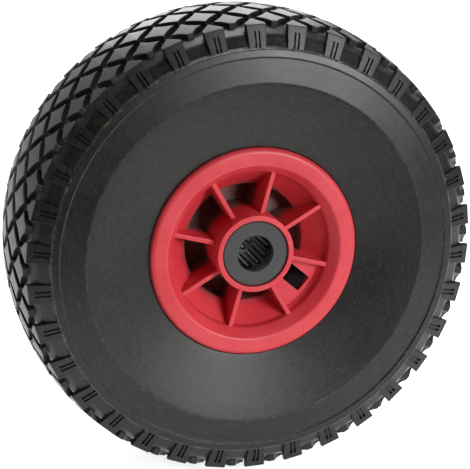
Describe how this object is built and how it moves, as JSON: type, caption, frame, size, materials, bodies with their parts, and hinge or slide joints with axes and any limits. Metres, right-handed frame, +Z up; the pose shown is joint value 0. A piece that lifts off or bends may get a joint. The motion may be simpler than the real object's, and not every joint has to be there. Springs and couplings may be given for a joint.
{
  "type": "puncture-proof wheel",
  "caption": "Solid foam tyre with a diamond tread on a ribbed plastic rim, with a roller bearing for a plain axle.",
  "frame": {"origin": "the wheel's centre, on the axle and halfway across the tyre", "axes": "+Y along the axle, the wheel spins about it; -Y is the side with the valve shelf; +Z up"},
  "size_m": [0.2594, 0.085, 0.26],
  "materials": {
    "tyre": "matt black polyurethane foam",
    "rim": "red polypropylene, satin",
    "steel": "ground and oiled",
    "cage": "black nylon",
    "cap": "dark grey plastic, worn satin"
  },
  "bodies": {
    "wheel": {"tyre": "tyre", "rim": "rim", "bearing_sleeve": "steel", "end_cap_front": "cap", "end_cap_rear": "cap"},
    "cage": {"roller_cage": "cage"},
    "roller_a01": {"roller_a01": "steel"},
    "roller_a02": {"roller_a02": "steel"},
    "roller_a03": {"roller_a03": "steel"},
    "roller_a04": {"roller_a04": "steel"},
    "roller_a05": {"roller_a05": "steel"},
    "roller_a06": {"roller_a06": "steel"},
    "roller_a07": {"roller_a07": "steel"},
    "roller_a08": {"roller_a08": "steel"},
    "roller_a09": {"roller_a09": "steel"},
    "roller_a10": {"roller_a10": "steel"},
    "roller_a11": {"roller_a11": "steel"},
    "roller_a12": {"roller_a12": "steel"},
    "roller_b01": {"roller_b01": "steel"},
    "roller_b02": {"roller_b02": "steel"},
    "roller_b03": {"roller_b03": "steel"},
    "roller_b04": {"roller_b04": "steel"},
    "roller_b05": {"roller_b05": "steel"},
    "roller_b06": {"roller_b06": "steel"},
    "roller_b07": {"roller_b07": "steel"},
    "roller_b08": {"roller_b08": "steel"},
    "roller_b09": {"roller_b09": "steel"},
    "roller_b10": {"roller_b10": "steel"},
    "roller_b11": {"roller_b11": "steel"},
    "roller_b12": {"roller_b12": "steel"}
  },
  "joints": [
    {"name": "cage_spin", "type": "hinge", "parent": "wheel", "child": "cage", "pos_m": [0, 0, 0], "axis": [0, 1, 0], "continuous": true},
    {"name": "roller_a01_spin", "type": "hinge", "parent": "cage", "child": "roller_a01", "pos_m": [0.01205, -0.0142, 0], "axis": [0, 1, 0], "continuous": true},
    {"name": "roller_a02_spin", "type": "hinge", "parent": "cage", "child": "roller_a02", "pos_m": [0.01044, -0.0142, 0.00602], "axis": [0, 1, 0], "continuous": true},
    {"name": "roller_a03_spin", "type": "hinge", "parent": "cage", "child": "roller_a03", "pos_m": [0.00602, -0.0142, 0.01044], "axis": [0, 1, 0], "continuous": true},
    {"name": "roller_a04_spin", "type": "hinge", "parent": "cage", "child": "roller_a04", "pos_m": [0, -0.0142, 0.01205], "axis": [0, 1, 0], "continuous": true},
    {"name": "roller_a05_spin", "type": "hinge", "parent": "cage", "child": "roller_a05", "pos_m": [-0.00602, -0.0142, 0.01044], "axis": [0, 1, 0], "continuous": true},
    {"name": "roller_a06_spin", "type": "hinge", "parent": "cage", "child": "roller_a06", "pos_m": [-0.01044, -0.0142, 0.00602], "axis": [0, 1, 0], "continuous": true},
    {"name": "roller_a07_spin", "type": "hinge", "parent": "cage", "child": "roller_a07", "pos_m": [-0.01205, -0.0142, 0], "axis": [0, 1, 0], "continuous": true},
    {"name": "roller_a08_spin", "type": "hinge", "parent": "cage", "child": "roller_a08", "pos_m": [-0.01044, -0.0142, -0.00602], "axis": [0, 1, 0], "continuous": true},
    {"name": "roller_a09_spin", "type": "hinge", "parent": "cage", "child": "roller_a09", "pos_m": [-0.00602, -0.0142, -0.01044], "axis": [0, 1, 0], "continuous": true},
    {"name": "roller_a10_spin", "type": "hinge", "parent": "cage", "child": "roller_a10", "pos_m": [0, -0.0142, -0.01205], "axis": [0, 1, 0], "continuous": true},
    {"name": "roller_a11_spin", "type": "hinge", "parent": "cage", "child": "roller_a11", "pos_m": [0.00602, -0.0142, -0.01044], "axis": [0, 1, 0], "continuous": true},
    {"name": "roller_a12_spin", "type": "hinge", "parent": "cage", "child": "roller_a12", "pos_m": [0.01044, -0.0142, -0.00602], "axis": [0, 1, 0], "continuous": true},
    {"name": "roller_b01_spin", "type": "hinge", "parent": "cage", "child": "roller_b01", "pos_m": [0.01205, 0.0142, 0], "axis": [0, 1, 0], "continuous": true},
    {"name": "roller_b02_spin", "type": "hinge", "parent": "cage", "child": "roller_b02", "pos_m": [0.01044, 0.0142, 0.00602], "axis": [0, 1, 0], "continuous": true},
    {"name": "roller_b03_spin", "type": "hinge", "parent": "cage", "child": "roller_b03", "pos_m": [0.00602, 0.0142, 0.01044], "axis": [0, 1, 0], "continuous": true},
    {"name": "roller_b04_spin", "type": "hinge", "parent": "cage", "child": "roller_b04", "pos_m": [0, 0.0142, 0.01205], "axis": [0, 1, 0], "continuous": true},
    {"name": "roller_b05_spin", "type": "hinge", "parent": "cage", "child": "roller_b05", "pos_m": [-0.00602, 0.0142, 0.01044], "axis": [0, 1, 0], "continuous": true},
    {"name": "roller_b06_spin", "type": "hinge", "parent": "cage", "child": "roller_b06", "pos_m": [-0.01044, 0.0142, 0.00602], "axis": [0, 1, 0], "continuous": true},
    {"name": "roller_b07_spin", "type": "hinge", "parent": "cage", "child": "roller_b07", "pos_m": [-0.01205, 0.0142, 0], "axis": [0, 1, 0], "continuous": true},
    {"name": "roller_b08_spin", "type": "hinge", "parent": "cage", "child": "roller_b08", "pos_m": [-0.01044, 0.0142, -0.00602], "axis": [0, 1, 0], "continuous": true},
    {"name": "roller_b09_spin", "type": "hinge", "parent": "cage", "child": "roller_b09", "pos_m": [-0.00602, 0.0142, -0.01044], "axis": [0, 1, 0], "continuous": true},
    {"name": "roller_b10_spin", "type": "hinge", "parent": "cage", "child": "roller_b10", "pos_m": [0, 0.0142, -0.01205], "axis": [0, 1, 0], "continuous": true},
    {"name": "roller_b11_spin", "type": "hinge", "parent": "cage", "child": "roller_b11", "pos_m": [0.00602, 0.0142, -0.01044], "axis": [0, 1, 0], "continuous": true},
    {"name": "roller_b12_spin", "type": "hinge", "parent": "cage", "child": "roller_b12", "pos_m": [0.01044, 0.0142, -0.00602], "axis": [0, 1, 0], "continuous": true}
  ],
  "couplings": [
    {"joint": "roller_a01_spin", "follows": "cage_spin", "ratio": -7.05},
    {"joint": "roller_a02_spin", "follows": "cage_spin", "ratio": -7.05},
    {"joint": "roller_a03_spin", "follows": "cage_spin", "ratio": -7.05},
    {"joint": "roller_a04_spin", "follows": "cage_spin", "ratio": -7.05},
    {"joint": "roller_a05_spin", "follows": "cage_spin", "ratio": -7.05},
    {"joint": "roller_a06_spin", "follows": "cage_spin", "ratio": -7.05},
    {"joint": "roller_a07_spin", "follows": "cage_spin", "ratio": -7.05},
    {"joint": "roller_a08_spin", "follows": "cage_spin", "ratio": -7.05},
    {"joint": "roller_a09_spin", "follows": "cage_spin", "ratio": -7.05},
    {"joint": "roller_a10_spin", "follows": "cage_spin", "ratio": -7.05},
    {"joint": "roller_a11_spin", "follows": "cage_spin", "ratio": -7.05},
    {"joint": "roller_a12_spin", "follows": "cage_spin", "ratio": -7.05},
    {"joint": "roller_b01_spin", "follows": "cage_spin", "ratio": -7.05},
    {"joint": "roller_b02_spin", "follows": "cage_spin", "ratio": -7.05},
    {"joint": "roller_b03_spin", "follows": "cage_spin", "ratio": -7.05},
    {"joint": "roller_b04_spin", "follows": "cage_spin", "ratio": -7.05},
    {"joint": "roller_b05_spin", "follows": "cage_spin", "ratio": -7.05},
    {"joint": "roller_b06_spin", "follows": "cage_spin", "ratio": -7.05},
    {"joint": "roller_b07_spin", "follows": "cage_spin", "ratio": -7.05},
    {"joint": "roller_b08_spin", "follows": "cage_spin", "ratio": -7.05},
    {"joint": "roller_b09_spin", "follows": "cage_spin", "ratio": -7.05},
    {"joint": "roller_b10_spin", "follows": "cage_spin", "ratio": -7.05},
    {"joint": "roller_b11_spin", "follows": "cage_spin", "ratio": -7.05},
    {"joint": "roller_b12_spin", "follows": "cage_spin", "ratio": -7.05}
  ]
}
